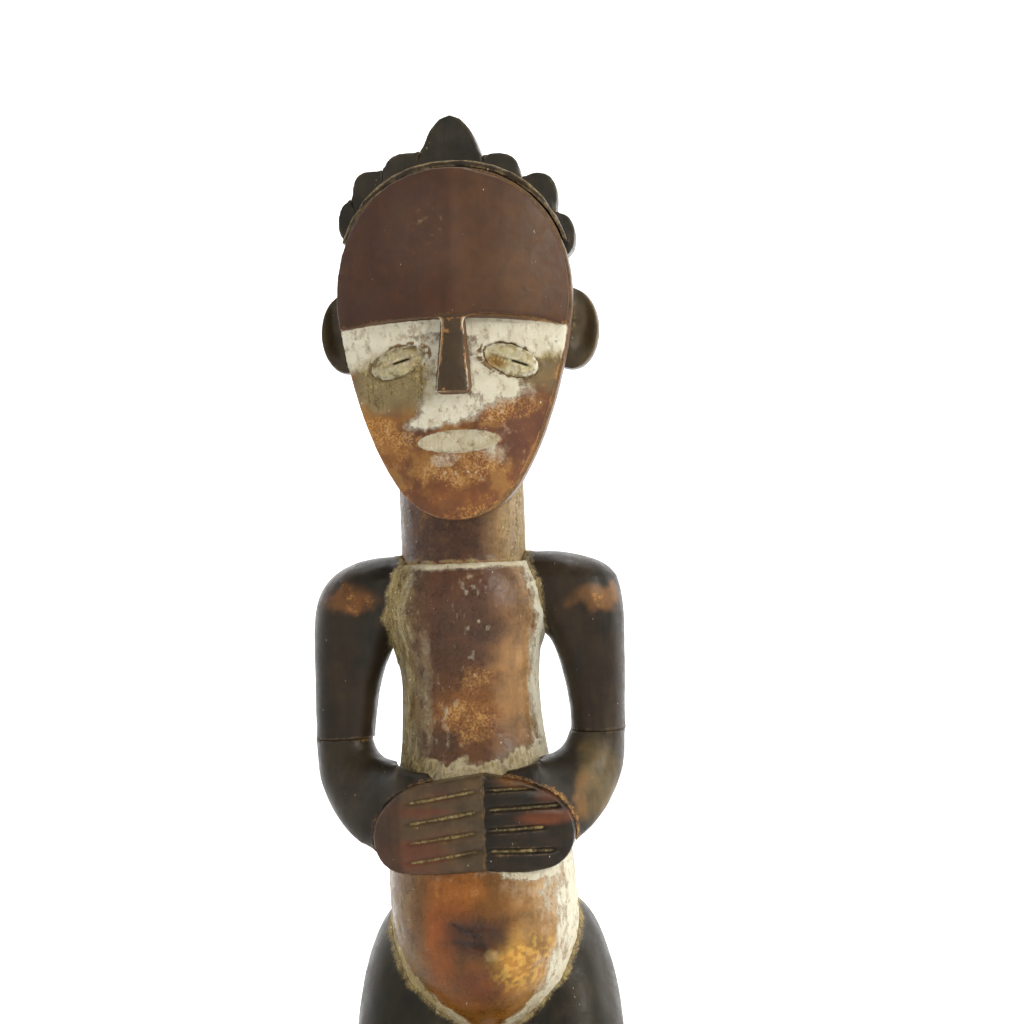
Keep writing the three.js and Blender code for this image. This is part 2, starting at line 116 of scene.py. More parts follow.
def to_segment(x, z, a, b):
    """Distance to a segment and the place along it, from 0 to 1."""
    a, b = np.array(a, float), np.array(b, float)
    ab = b - a
    t = np.clip(((x - a[0]) * ab[0] + (z - a[1]) * ab[1]) / (ab @ ab), 0, 1)
    return np.hypot(x - a[0] - t * ab[0], z - a[1] - t * ab[1]), t


def srgb(*rgb):
    """A colour given in screen values from 0 to 255, as linear light."""
    c = np.array(rgb, float) / 255
    return np.where(c <= 0.04045, c / 12.92, ((c + 0.055) / 1.055) ** 2.4)


def blend(colours, mask, colour):
    """Lays a colour over the colours where the mask is 1."""
    return colours + mask[:, None] * (np.asarray(colour) - colours)


def layered(base, *layers):
    """A base colour with more colours laid over it in turn, each given as its mask and its screen colour."""
    colours = srgb(*base)
    for mask, rgb in layers:
        colours = blend(colours, mask, srgb(*rgb))
    return colours


def smooth(mesh):
    mesh.polygons.foreach_set("use_smooth", np.ones(len(mesh.polygons), bool))


# ---- Carving ----
TREES = {}


def tree(node):
    """A search tree of a CAD node's surface, built once."""
    if node not in TREES:
        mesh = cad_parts[node].data
        vertices = [v.co / MM for v in mesh.vertices]
        TREES[node] = BVHTree.FromPolygons(vertices, [p.vertices[:] for p in mesh.polygons])
    return TREES[node]


def distance_to(p, nodes, reach=9.0):
    """Distance from each point to the nearest surface of the CAD nodes, up to reach."""
    found = np.full(len(p), reach)
    for node in nodes:
        low, high = (np.array(corner) * 1000 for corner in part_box(node))
        near = np.where(np.all((p > low - reach) & (p < high + reach), axis=1))[0]
        for i in near:
            gap = tree(node).find_nearest(p[i], reach)[3]
            if gap is not None and gap < found[i]:
                found[i] = gap
    return found


class Block:
    """One wooden block as a fine mesh, with its painting. Its edges stay crisp where it meets the neighbours."""

    def __init__(self, node, voxel, rounds=70, cap=0.6, meets=(), soft_back=0.0):
        """Meshes the node again at voxel mm and rounds it off, with no point moved by more than cap. Close to the
        nodes it meets the cap is nearly zero, and soft_back adds to it towards the back of the figure."""
        self.node = node
        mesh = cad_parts[node].data.copy()
        weld = bmesh.new()
        weld.from_mesh(mesh)
        bmesh.ops.remove_doubles(weld, verts=weld.verts, dist=1e-6)
        weld.to_mesh(mesh)
        weld.free()
        self.obj = bpy.data.objects.new("carved_" + node, mesh)
        bpy.context.scene.collection.objects.link(self.obj)
        cut = self.obj.modifiers.new("voxels", "REMESH")
        cut.mode = "VOXEL"
        cut.voxel_size = voxel * MM
        graph = bpy.context.evaluated_depsgraph_get()
        self.mesh = bpy.data.meshes.new_from_object(self.obj.evaluated_get(graph))
        self.obj.modifiers.clear()
        self.obj.data = self.mesh
        count = len(self.mesh.vertices)
        co = np.empty(count * 3, np.float32)
        self.mesh.vertices.foreach_get("co", co)
        self.p = co.reshape(-1, 3).astype(float) * 1000
        edges = np.empty(len(self.mesh.edges) * 2, np.int32)
        self.mesh.edges.foreach_get("vertices", edges)
        self.edges = edges.reshape(-1, 2)
        free = 1.0
        if meets:
            gap = distance_to(self.p, meets, 3.0)
            free = step(gap, 0.5, 2.4)[:, None]
        if soft_back:
            cap = cap + soft_back * step(self.p[:, 1:2], 10, 35)
        self.p = self.relaxed(rounds, cap * free + 0.02)
        if meets:
            self.push(0.13 * (1 - step(gap, 0.4, 0.9)))
        self.tone = srgb(0, 0, 0)
        self.paint = {name: np.zeros(count) for name in ("clay", "dirt", "ochre", "worn", "pit")}

    def relaxed(self, rounds, cap=1e9):
        """The points smoothed over their neighbours, none of them moved by more than cap."""
        i, j = self.edges.T
        n = len(self.p)
        degree = (np.bincount(i, minlength=n) + np.bincount(j, minlength=n))[:, None]
        p = self.p.copy()
        for _ in range(rounds):
            around = [np.bincount(i, p[j, k], n) + np.bincount(j, p[i, k], n) for k in range(3)]
            p += 0.6 * (np.stack(around, 1) / degree - p)
            shift = p - self.p
            length = np.linalg.norm(shift, axis=1, keepdims=True)
            p = self.p + shift * np.minimum(1, cap / np.maximum(length, 1e-9))
        return p

    def normals(self):
        """Writes the points to the mesh and gives its normals."""
        self.mesh.vertices.foreach_set("co", (self.p * MM).astype(np.float32).ravel())
        self.mesh.update()
        n = np.empty(len(self.p) * 3, np.float32)
        self.mesh.vertex_normals.foreach_get("vector", n)
        return n.reshape(-1, 3).astype(float)

    def push(self, height):
        """Moves the surface out by height, in mm."""
        self.p = self.p + self.normals() * height[:, None]

    def figure(self):
        """The points in the figure's frame."""
        return self.p - FIGURE

    def head(self):
        """The points in the head's frame."""
        return (self.p - FIGURE - HEAD) @ HEAD_AXES

    def cuts(self, spacing, depth, seed):
        """Shallow cuts of a knife or an adze, each a scoop about spacing mm across."""
        rng = np.random.default_rng(seed)
        count = int(len(self.p) / max(1, (spacing / self.spacing()) ** 2))
        seeds = self.p[rng.choice(len(self.p), max(8, count), replace=False)]
        lookup = KDTree(len(seeds))
        for i, s in enumerate(seeds):
            lookup.insert(s, i)
        lookup.balance()
        wander = (noise(self.p, spacing, seed) - 0.5)[:, None] * spacing * 0.5
        height = np.empty(len(self.p))
        for i, point in enumerate(self.p + wander):
            (_, _, d1), (_, _, d2) = lookup.find_n(point, 2)
            height[i] = 2 * d1 / (d1 + d2) - 0.5
        self.push(depth * height)

    def spread(self, values, rounds):
        """Blurs values over the surface."""
        i, j = self.edges.T
        n = len(self.p)
        degree = np.bincount(i, minlength=n) + np.bincount(j, minlength=n)
        for _ in range(rounds):
            values = 0.5 * values + 0.5 * (np.bincount(i, values[j], n) + np.bincount(j, values[i], n)) / degree
        return values

    def spacing(self):
        """Mean length of the edges."""
        a, b = self.p[self.edges[:, 0]], self.p[self.edges[:, 1]]
        return float(np.mean(np.linalg.norm(a - b, axis=1)))

    def wear(self, rounds=14, size=0.22):
        """Marks what stands proud as worn and what lies deep as a pit."""
        n = self.normals()
        proud = np.einsum("ij,ij->i", self.p - self.relaxed(rounds), n)
        self.paint["worn"] = np.maximum(self.paint["worn"], step(proud, 0.35 * size, 1.6 * size))
        self.paint["pit"] = np.maximum(self.paint["pit"], step(-proud, 0.4 * size, 2 * size))

    def finish(self, slot):
        """Writes the paint to the mesh and hands the piece over in place of its CAD node."""
        self.normals()
        smooth(self.mesh)
        for name, values in self.paint.items():
            layer = self.mesh.attributes.new(name, "FLOAT", "POINT")
            layer.data.foreach_set("value", np.clip(values, 0, 1).astype(np.float32))
        colour = np.ones((len(self.p), 4), np.float32)
        colour[:, :3] = np.clip(self.tone, 0, 1)
        layer = self.mesh.attributes.new("tone", "FLOAT_COLOR", "POINT")
        layer.data.foreach_set("color", colour.ravel())
        self.mesh.materials.clear()
        self.mesh.materials.append(MATERIALS[slot])
        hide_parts(self.node)
        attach(self.obj, "root")


# ---- Materials ----
class Graph:
    """A small helper that writes a material's nodes."""

    def __init__(self, name):
        self.material = bpy.data.materials.new(name)
        self.material.use_nodes = True
        self.tree = self.material.node_tree
        self.shader = self.tree.nodes["Principled BSDF"]
        coordinates = self.tree.nodes.new("ShaderNodeTexCoord")
        self.place = coordinates.outputs["Object"]

    def node(self, kind, inputs=(), **settings):
        made = self.tree.nodes.new(kind)
        for name, value in settings.items():
            setattr(made, name, value)
        for key, value in dict(inputs).items():
            self.feed(made.inputs[key], value)
        return made

    def feed(self, socket, value):
        """Links an output to the socket, or sets a plain value."""
        if isinstance(value, bpy.types.NodeSocket):
            self.tree.links.new(value, socket)
        else:
            socket.default_value = value

    def attribute(self, name):
        return self.node("ShaderNodeAttribute", attribute_name=name)

    def value(self, name):
        return self.attribute(name).outputs["Fac"]

    def math(self, operation, a, b=0.0):
        return self.node("ShaderNodeMath", {0: a, 1: b}, operation=operation).outputs[0]

    def add(self, a, b):
        return self.math("ADD", a, b)

    def times(self, a, b):
        return self.math("MULTIPLY", a, b)

    def soft(self, value, low, high, out_low=0.0, out_high=1.0):
        """A smooth ramp from out_low, at low, to out_high, at high."""
        inputs = {"Value": value, "From Min": low, "From Max": high, "To Min": out_low, "To Max": out_high}
        return self.node("ShaderNodeMapRange", inputs, interpolation_type="SMOOTHSTEP").outputs["Result"]

    def mix(self, factor, a, b, kind="MIX"):
        made = self.node("ShaderNodeMix", data_type="RGBA", blend_type=kind)
        self.feed(made.inputs["Factor"], factor)
        self.feed(made.inputs["A"], self.colour(a))
        self.feed(made.inputs["B"], self.colour(b))
        return made.outputs["Result"]

    def colour(self, value):
        return value if isinstance(value, bpy.types.NodeSocket) else (*[float(v) for v in value], 1.0)

    def noise(self, size, detail=4.0, roughness=0.55, stretch=(1, 1, 1), distortion=0.0):
        """Noise with features about size mm across, longer along an axis where stretch is less than 1."""
        place = self.node("ShaderNodeMapping", {"Vector": self.place, "Scale": stretch}).outputs["Vector"]
        inputs = {"Vector": place, "Scale": 1000 / size, "Detail": detail, "Roughness": roughness}
        return self.node("ShaderNodeTexNoise", {**inputs, "Distortion": distortion}).outputs["Fac"]

    def bump(self, height, distance, strength=1.0, under=None):
        inputs = {"Height": height, "Distance": distance * MM, "Strength": strength}
        if under is not None:
            inputs["Normal"] = under
        return self.node("ShaderNodeBump", inputs).outputs["Normal"]


# fresh clay, clay with dirt in it, and the two colours of the ochre
CREAM = srgb(229, 224, 203)
DUSTY = srgb(166, 146, 96)
GOLD = srgb(192, 146, 82)
ORANGE = srgb(134, 80, 40)


def painted_wood(name, gloss, worn, grain=1.0, along=(1, 1, 0.07), shine=0.3, cloudy=1.0):
    """Stained wood with its grain, worn edges, ochre patches and a crust of clay. gloss is the stain's roughness."""
    g = Graph(name)
    clouds = g.noise(26, 4, 0.6)
    patches = g.noise(8, 6, 0.65)
    flecks = g.noise(1.7, 6, 0.65)
    dust = g.noise(0.5, 3, 0.6)
    fibres = g.noise(1.4, 4, 0.6, along, 0.3)
    streaks = g.noise(5, 5, 0.6, along, 0.5)

    # the stain is darker and lighter in clouds, and redder or greyer in small patches
    depth = g.add(g.times(clouds, 0.4), g.times(patches, 0.35))
    depth = g.add(depth, g.add(g.times(streaks, 0.3 * grain), g.times(fibres, 0.1 * grain)))
    middle = 0.375 + 0.2 * grain
    depth = g.soft(depth, middle - 0.17, middle + 0.17, 1 - 0.38 * cloudy, 1 + 0.42 * cloudy)
    grey = g.node("ShaderNodeCombineColor", {"Red": depth, "Green": depth, "Blue": depth}).outputs["Color"]
    wood = g.mix(1.0, g.attribute("tone").outputs["Color"], grey, "MULTIPLY")
    hue = g.soft(g.add(g.times(patches, 0.6), g.times(flecks, 0.4)), 0.42, 0.6)
    wood = g.mix(1.0, wood, g.mix(hue, (0.98, 1.0, 0.86), (1.06, 0.98, 0.72)), "MULTIPLY")

    rubbed = g.add(g.value("worn"), g.times(g.add(flecks, g.times(patches, 0.8)), 0.9))
    rubbed = g.soft(rubbed, 1.08, 1.6)
    wood = g.mix(g.times(rubbed, 0.75), wood, worn)

    mottle = g.add(g.times(patches, 1.3), g.times(flecks, 0.9))
    rust = g.soft(g.add(g.value("ochre"), mottle), 1.3, 1.9)
    rust = g.times(rust, g.soft(g.value("ochre"), 0.02, 0.22))
    grains = g.noise(0.95, 2, 0.5)
    crumbs = g.soft(grains, 0.38, 0.56)
    rust = g.times(rust, g.add(0.5, g.times(crumbs, 0.5)))
    ochre = g.mix(g.soft(g.add(grains, g.times(patches, 0.5)), 0.62, 0.9), ORANGE, GOLD)
    wood = g.mix(g.times(rust, 0.85), wood, ochre)

    deep = g.times(g.value("pit"), g.soft(flecks, 0.25, 0.6, 0.5, 0.85))
    wood = g.mix(deep, wood, srgb(20, 16, 13))

    # clay: a thin film that lets the wood through, and a thick crust that flakes off at its edges
    cover = g.add(g.add(g.times(patches, 1.1), g.times(flecks, 0.75)), g.times(streaks, 0.35))
    cover = g.add(g.value("clay"), cover)
    film = g.times(g.soft(cover, 1.36, 1.95), g.soft(g.value("clay"), 0.02, 0.2))
    film = g.times(film, g.soft(grains, 0.36, 0.46, 0.6, 1.0))
    crust = g.soft(g.add(cover, g.times(dust, 0.3)), 1.84, 2.02)
    pale = g.mix(g.soft(g.add(g.value("dirt"), g.times(patches, 0.8)), 0.35, 1.35), CREAM, DUSTY)
    stain = g.noise(3.4, 6, 0.7, (1, 1, 0.6))
    pale = g.mix(g.soft(stain, 0.5, 0.68, 0.0, 0.6), pale, srgb(146, 122, 84))
    pale = g.mix(g.times(g.soft(flecks, 0.56, 0.66), g.soft(stain, 0.42, 0.6, 0.0, 0.6)), pale, srgb(92, 76, 52))
    dirty = g.soft(g.value("dirt"), 0.2, 1.0)
    strands = g.times(g.soft(g.add(g.times(fibres, 0.7), g.times(flecks, 0.3)), 0.46, 0.58), dirty)
    pale = g.mix(g.times(strands, 0.75), pale, srgb(94, 74, 40))
    pale = g.mix(g.times(g.soft(grains, 0.54, 0.64), g.times(dirty, 0.35)), pale, srgb(212, 200, 158))
    colour = g.mix(g.times(film, 0.62), wood, pale)
    colour = g.mix(crust, colour, pale)
    specks = g.add(g.noise(1.3, 2, 0.5, (1, 1, 0.5)), g.times(g.value("clay"), 0.1))
    specks = g.soft(g.add(specks, g.times(patches, 0.2)), 0.87, 0.9)
    colour = g.mix(g.times(specks, 0.75), colour, CREAM)
    g.feed(g.shader.inputs["Base Color"], colour)

    matt = g.math("MAXIMUM", g.times(film, 0.7), g.math("MAXIMUM", crust, rust))
    sheen = g.soft(g.add(flecks, patches), 0.75, 1.25, gloss - 0.08, gloss + 0.12)
    g.feed(g.shader.inputs["Roughness"], g.add(sheen, g.times(matt, 0.35)))
    g.shader.inputs["Specular IOR Level"].default_value = shine

    normal = g.bump(g.add(g.times(fibres, 0.5), g.times(streaks, 0.5)), 0.25 * grain, 0.4)
    normal = g.bump(flecks, 0.14, 0.5, normal)
    normal = g.bump(g.times(g.add(crust, g.times(film, 0.4)), g.add(0.6, dust)), 0.3, 0.9, normal)
    g.feed(g.shader.inputs["Normal"], normal)
    return g.material


MATERIALS = {
    "dark_wood": painted_wood("dark_wood", 0.36, srgb(86, 70, 50), 0.7, shine=0.24),
    "face_wood": painted_wood("face_wood", 0.42, srgb(158, 112, 66), 0.6, cloudy=0.5),
    "body_wood": painted_wood("body_wood", 0.3, srgb(146, 108, 68), 0.9, (1, 1, 0.16), 0.36),
    "base_wood": painted_wood("base_wood", 0.6, srgb(118, 84, 54), 1.3, (0.08, 1, 1)),
    "peg_wood": painted_wood("peg_wood", 0.7, srgb(196, 158, 104), 1.2),
    "shell": painted_wood("shell", 0.42, srgb(214, 198, 160), 0.4),
}

# ---- Head ----
BROW_Z = 84.0  # the board's upper rim is an arc round this level too
EYE = {"x": 24.0, "z": 65.0, "tilt": 18.0}
MOUTH_Z = 30.0


def eye_frame(x, z, side):
    """Places along and across an eye, from its middle."""
    turn = math.radians(side * EYE["tilt"])
    dx, dz = x - side * EYE["x"], z - EYE["z"]
    return dx * math.cos(turn) - dz * math.sin(turn), dz * math.cos(turn) + dx * math.sin(turn)


def face_board():
    b = Block("face_board", 0.62, 150, 0.55, ["cowrie_eye_left", "cowrie_eye_right"])
    h = b.head()
    x, z = h[:, 0], h[:, 2]
    n = b.normals() @ HEAD_AXES
    front = step(-n[:, 1], 0.15, 0.6)
    brow = BROW_Z - 4.5 * (x / 52) ** 2
    forehead = step(z - brow, -0.8, 0.8)
    rim = b.spread(1 - front, 40) * step(x, 0, 14)
    lift = np.zeros(len(x))
    # the forehead's two planes meet in a low ridge
    lift += 0.7 * np.exp(-((np.abs(x) / 3.5) ** 1.2)) * forehead * step(z, 84, 96) * (1 - step(z, 128, 146))
    # a low lip round each eye and round the mouth
    for side in SIDES.values():
        along, across = eye_frame(x, z, side)
        r = np.hypot(along / 14.2, across / 7.8)
        lift += 0.5 * np.exp(-(((r - 1.0) / 0.12) ** 2)) * (0.3 + 1.4 * rough(b.p, 4, 2))
    r = np.hypot((x - 0.5) / 18.6, (z - MOUTH_Z - 0.035 * x) / 5.2)
    lift += 0.8 * np.exp(-(((r - 1.0) / 0.11) ** 2))
    lift -= 1.1 * step(rim, 0.08, 0.35)
    b.push(lift * front)
    b.cuts(9, 0.16, 11)
    b.push(0.35 * (rough(b.p, 14, 3) - 0.5))

    x, z = b.head()[:, 0], b.head()[:, 2]
    below = 1 - forehead
    side_edge = 1 - front
    wx = x + 9 * (rough(b.p, 11, 5) - 0.5)
    wz = z + 9 * (rough(b.p, 11, 6) - 0.5)
    # clay lies under the brow, beside the nose, over the lip, in the mouth and in flakes under it
    mouth = below * (1 - step(np.hypot((x - 1.5) / 18.6, (z - MOUTH_Z - 0.035 * x) / 5.0), 0.92, 1.04))
    clay = np.maximum.reduce(
        [
            1.1 * step(z - brow + 0.5 * (wz - z), -10, -6),
            0.95 * oval(wx, wz, (-32, 69), (24, 9)),
            0.82 * oval(wx, wz, (-11, 60), (10, 24)),
            1.0 * oval(wx, wz, (20, 64), (17, 20), -15),
            0.95 * oval(wx, wz, (42, 73), (13, 8)),
            0.95 * oval(wx, wz, (-2, 46), (16, 8)),
            0.85 * oval(wx, wz, (-11, 39), (12, 5), 20),
            0.72 * oval(wx, wz, (-35, 50), (9, 5), -30),
            0.62 * oval(wx, wz, (-25, 60), (17, 14)),
            0.52 * oval(wx, wz, (-6, 22), (9, 4)),
            0.56 * oval(wx, wz, (16, 25), (7, 5)),
            0.3 * oval(wx, wz, (0, 30), (34, 22)),
            0.62 * step(noise(b.p, 1.7, 15), 0.74, 0.86) * oval(wx, wz, (3, 22), (22, 12)),
        ]
    )
    lump = step(clay + 0.5 * (rough(b.p, 3, 8) - 0.5), 0.5, 0.85) * below * front
    b.push(0.4 * lump * (0.2 + 1.4 * rough(b.p, 2.2, 9)))
    b.wear(20, 0.2)

    above = layered(
        (68, 42, 30),
        # painted light: the forehead's plane on the viewer's right is painted lighter, as if lit from the right
        (step(x, -4, 4), (80, 54, 38)),
        (oval(wx, wz, (-13, 122), (16, 22)) * 0.45, (88, 64, 56)),
        (oval(wx, wz, (32, 110), (10, 24)) * 0.5, (98, 72, 54)),
        (side_edge, (84, 60, 42)),
    )
    blotch = rough(b.p, 8, 14)
    jaw = layered(
        (120, 76, 42),
        (step(blotch, 0.52, 0.6) * 0.75, (152, 110, 62)),
        (step(1 - blotch, 0.53, 0.6) * 0.7, (98, 58, 40)),
        (oval(wx, wz, (-28, 34), (9, 18), 62) * 0.8, (146, 96, 46)),
        (oval(wx, wz, (34, 34), (12, 15), 60) * 0.8, (100, 58, 42)),
        (oval(wx, wz, (-18, 32), (6, 6)) * 0.8, (84, 52, 42)),
        (oval(wx, wz, (24, 30), (6, 8)) * 0.6, (84, 52, 42)),
        (oval(wx, wz, (0, 3), (18, 8)) * 0.8, (112, 66, 40)),
        (oval(wx, wz, (31, 40), (9, 8)) * 0.6, (102, 64, 50)),
        (oval(wx, wz, (-27, 56), (19, 12)), (128, 112, 84)),
        (oval(wx, wz, (42, 60), (12, 9)), (114, 96, 70)),
        (side_edge, (96, 66, 42)),
    )
    b.tone = blend(jaw, forehead, above)
    paint = b.paint
    crumbs, near_eye = np.zeros(len(x)), np.zeros(len(x))
    for side in SIDES.values():
        along, across = eye_frame(x, z, side)
        r = np.hypot(along / 13.6, across / 7.3)
        crumbs = np.maximum(crumbs, 1 - step(np.abs(r - 0.98), 0.02, 0.16))
        near_eye = np.maximum(near_eye, 1 - step(np.abs(r - 1.0), 0.15, 0.35))
    crumbs *= step(noise(b.p, 1.6, 16), 0.5, 0.62)
    paint["worn"] *= 1 - 0.85 * near_eye
    clay = clay * (1 - 0.8 * crumbs)
    b.tone = blend(b.tone, 0.8 * crumbs, srgb(104, 90, 62))
    paint["clay"] = np.maximum(below * clay, 0.95 * mouth) * (1 - 0.85 * side_edge)
    scuffs = 0.16 * oval(wx, wz, (-12, 124), (20, 24))
    scuffs = np.maximum(scuffs, 0.4 * step(noise(b.p, 1.9, 17), 0.66, 0.84) * oval(wx, wz, (-11, 126), (11, 13)))
    paint["clay"] = np.maximum(paint["clay"], forehead * scuffs)
    frayed = wx + 8 * (rough(b.p, 3.5, 18) - 0.5)
    grey = np.maximum(oval(frayed, wz, (-28, 56), (17, 12)), oval(frayed, wz, (42, 60), (12, 9)))
    paint["dirt"] = np.clip(0.9 * forehead + below * (0.95 * grey + 0.3 * mouth + 0.15), 0, 1)
    golden = np.maximum.reduce(
        [
            0.6 * oval(wx, wz, (-29, 33), (8, 18), 62),
            0.7 * oval(wx, wz, (23, 43), (12, 6), 15),
            0.55 * oval(wx, wz, (0, 18), (24, 9)),
            0.55 * oval(wx, wz, (6, -1), (16, 4)),
            np.full(len(x), 0.22),
        ]
    )
    bevel = step(rim, 0.14, 0.3) * (1 - step(side_edge, 0.5, 0.95))
    worn_brow = step(brow + 2.4 - z, 0, 1.6) * step(rough(b.p, 6, 10), 0.35, 0.6)
    paint["ochre"] = (1 - near_eye) * below * golden + 0.36 * forehead * worn_brow
    paint["ochre"] = np.maximum(paint["ochre"] * (1 - 0.7 * side_edge), 0.25 * bevel)
    b.tone = blend(b.tone, bevel * (0.45 + 0.5 * below), srgb(158, 122, 82))
    inner = np.exp(-(((rim - 0.1) / 0.05) ** 2))
    b.tone = blend(b.tone, 0.6 * inner, srgb(66, 42, 32))
    patchy = step(rough(b.p, 7, 12), 0.35, 0.65)
    paint["worn"] = paint["worn"] * (1 - 0.85 * forehead) * (1 - 0.6 * side_edge) * patchy
    # the nose is dark in front, with worn edges and clay on its cheeks
    nose = step(z, 50.2, 51.2) * (1 - step(z, 84, 86)) * (1 - step(np.abs(x), 6.8 + (70 - z) * 0.02, 8.4))
    nose_front = nose * step(-(b.normals() @ HEAD_AXES)[:, 1], 0.75, 0.93) * step(-b.head()[:, 1], 50.5, 52.5)
    b.tone = blend(b.tone, nose_front, srgb(64, 50, 36))
    paint["clay"] *= 1 - nose_front
    paint["ochre"] = np.maximum(paint["ochre"] * (1 - nose_front), 0.3 * nose_front * step(paint["worn"], 0.1, 0.6))
    b.finish("face_wood")


def cowrie(word, side):
    b = Block("cowrie_eye_" + word, 0.42, 30, 0.25, ["face_board"])
    h = b.head()
    along, across = eye_frame(h[:, 0], h[:, 2], side)
    front = step(-(b.normals() @ HEAD_AXES)[:, 1], 0.1, 0.5)
    inside = 1 - step(np.abs(along), 7.5, 11)
    slit = np.exp(-((across / 0.6) ** 2)) * inside
    open_slit = slit * (1 - step(np.abs(along - (5 if side > 0 else 1)), 3.0, 5.0))
    teeth = (0.5 + 0.5 * np.cos(along * 2 * math.pi / 1.6)) * np.exp(-(((np.abs(across) - 1.5) / 1.1) ** 2)) * inside
    teeth *= step(rough(b.p, 4, 22), 0.35, 0.6)
    b.push(front * (-0.6 * slit - 1.0 * open_slit + 0.35 * teeth) + 1.3 * (rough(b.p, 2.2, 21) - 0.5) * front)
    b.wear(8, 0.18)
    # the right eye is dirtier, and the left one has a brown patch under its slit
    out = np.hypot(along / 13.3, across / 6.8)
    crumbs = step(rough(b.p, 2.0, 24), 0.52, 0.62) * step(out, 0.25, 0.8)
    # painted shade: the open part of the slit is painted near-black, for the dark inside of the shell
    slit_shade = step(open_slit, 0.35, 0.7)
    b.tone = layered(
        (172, 160, 128) if side < 0 else (206, 194, 160),
        (crumbs * (0.8 if side < 0 else 0.5), (98, 84, 60)),
        (oval(along, across, (-5, -2.2), (4.5, 2.4)) * (side > 0), (152, 118, 66)),
        (front * slit_shade, (20, 16, 13)),
    )
    b.paint["clay"] = np.maximum(0.85 * step(out, 0.55, 0.95), 0.35 + 0.4 * rough(b.p, 5, 23)) * (1 - slit_shade)
    b.paint["clay"] *= 1 - 0.8 * oval(along, across, (-5, -2.2), (5, 2.8)) * (side > 0)
    b.paint["clay"] *= 1 - 0.7 * crumbs
    b.paint["dirt"][:] = 0.42 if side < 0 else 0.15
    b.finish("shell")


def hair(node, seed, voxel=0.85):
    rows = [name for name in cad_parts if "hair_" in name and name != node]
    b = Block(node, voxel, 150, 0.9, rows + ["skull"], 2.0)
    b.cuts(10, 0.18, seed)
    b.push(0.3 * (rough(b.p, 9, seed) - 0.5))
    b.wear(14, 0.25)
    b.tone = layered((44, 41, 38), (rough(b.p, 22, seed + 1) * 0.6, (58, 52, 45)))
    b.paint["clay"] = 0.06 + 0.3 * b.paint["pit"] + 0.2 * b.paint["worn"]
    b.paint["dirt"][:] = 1.0
    b.paint["worn"] *= 0.45
    b.finish("dark_wood")


def hair_band():
    b = Block("hair_band", 0.6, 60, 0.35)
    h = b.head()
    r = np.hypot(h[:, 0] / 0.93, h[:, 2] - BROW_Z)
    b.push(-0.35 * np.exp(-(((r - r.mean()) / 0.5) ** 2)) + 0.25 * (rough(b.p, 6, 31) - 0.5))
    b.wear(10, 0.16)
    b.tone = srgb(58, 50, 42)
    b.paint["clay"] = 0.42 * b.paint["worn"] + 0.2
    b.paint["dirt"][:] = 0.7
    b.paint["ochre"] = 0.4 * b.paint["worn"]
    b.finish("dark_wood")


def skull():
    b = Block("skull", 1.1, 120, 1.2, ["neck"])
    b.cuts(13, 0.35, 41)
    b.push(0.5 * (rough(b.p, 18, 42) - 0.5))
    b.wear(12, 0.3)
    seam = distance_to(b.p, ["neck"], 7)
    b.tone = layered((50, 43, 37), (rough(b.p, 30, 43), (72, 54, 42)))
    b.paint["clay"] = np.maximum(0.75 * (1 - step(seam, 1, 6)), 0.22)
    b.paint["dirt"][:] = 0.7
    b.finish("dark_wood")


def ear(word, seed):
    b = Block("ear_" + word, 0.7, 90, 1.2, ["skull"])
    h = b.head()
    b.push(1.2 * oval(np.abs(h[:, 0]), h[:, 2], (52, 85), (4, 6)))  # so that no light shows beside the board
    b.cuts(8, 0.15, seed)
    b.wear(12, 0.22)
    b.tone = srgb(72, 62, 50)
    b.paint["clay"] = 0.1 + 0.3 * b.paint["worn"]
    b.paint["dirt"][:] = 0.8
    b.paint["worn"] *= 0.5
    b.finish("dark_wood")


# ---- Body ----
def neck():
    b = Block("neck", 0.8, 40, 0.4, ["torso", "skull", "face_board"])
    b.cuts(10, 0.2, 51)
    b.push(0.4 * (rough(b.p, 12, 52) - 0.5))
    f = b.figure()
    collar = 1 - step(f[:, 2] + 2 * (rough(b.p, 8, 53) - 0.5), 372.8, 375.2)
    collar *= step(rough(b.p, 5, 55), 0.3, 0.6)
    b.push(0.4 * collar)
    b.wear(12, 0.25)
    b.tone = layered(
        (76, 48, 30),
        (rough(b.p, (10, 10, 30), 54), (62, 38, 26)),
        (step(f[:, 0], 6, 24) * 0.75, (164, 130, 88)),
    )
    back = step(b.normals()[:, 1], 0.0, 0.6)
    b.paint["clay"] = 0.08 + (0.56 * step(f[:, 0], 8, 25) + 0.26 * step(-f[:, 0], 18, 27)) * (1 - 0.6 * back)
    b.paint["clay"] = np.maximum(b.paint["clay"], 0.7 * collar)
    b.paint["dirt"][:] = 0.8
    b.paint["ochre"][:] = 0.18
    b.finish("body_wood")


LIMBS = ("upper_arm", "forearm", "hand", "thigh")


def carve_navel(b):
    """Cuts a creased navel under a hollow and a furrow down the back, and gives the mask of the creases."""
    x, _, z = b.figure().T
    front = step(-b.normals()[:, 1], -0.1, 0.35)
    back = step(b.normals()[:, 1], 0.2, 0.7)
    crease = np.zeros(len(x))
    for a, c in (((-9, 216), (2, 209.5)), ((2, 209.5), (6, 203)), ((-8, 208), (4, 205.5))):
        crease = np.maximum(crease, front * np.exp(-((to_segment(x, z, a, c)[0] / 1.2) ** 2)))
    lift = -2.0 * front * oval(x, z, (3.5, 208.5), (7, 4.6), -12) - 0.7 * crease
    lift += 2.2 * front * np.exp(-(np.hypot(x - 8, z - 201.5) / 2.8) ** 2)
    lift -= 1.4 * back * np.exp(-((x / 4.5) ** 2)) * step(z, 200, 240) * (1 - step(z, 345, 365))
    b.push(lift)
    return crease


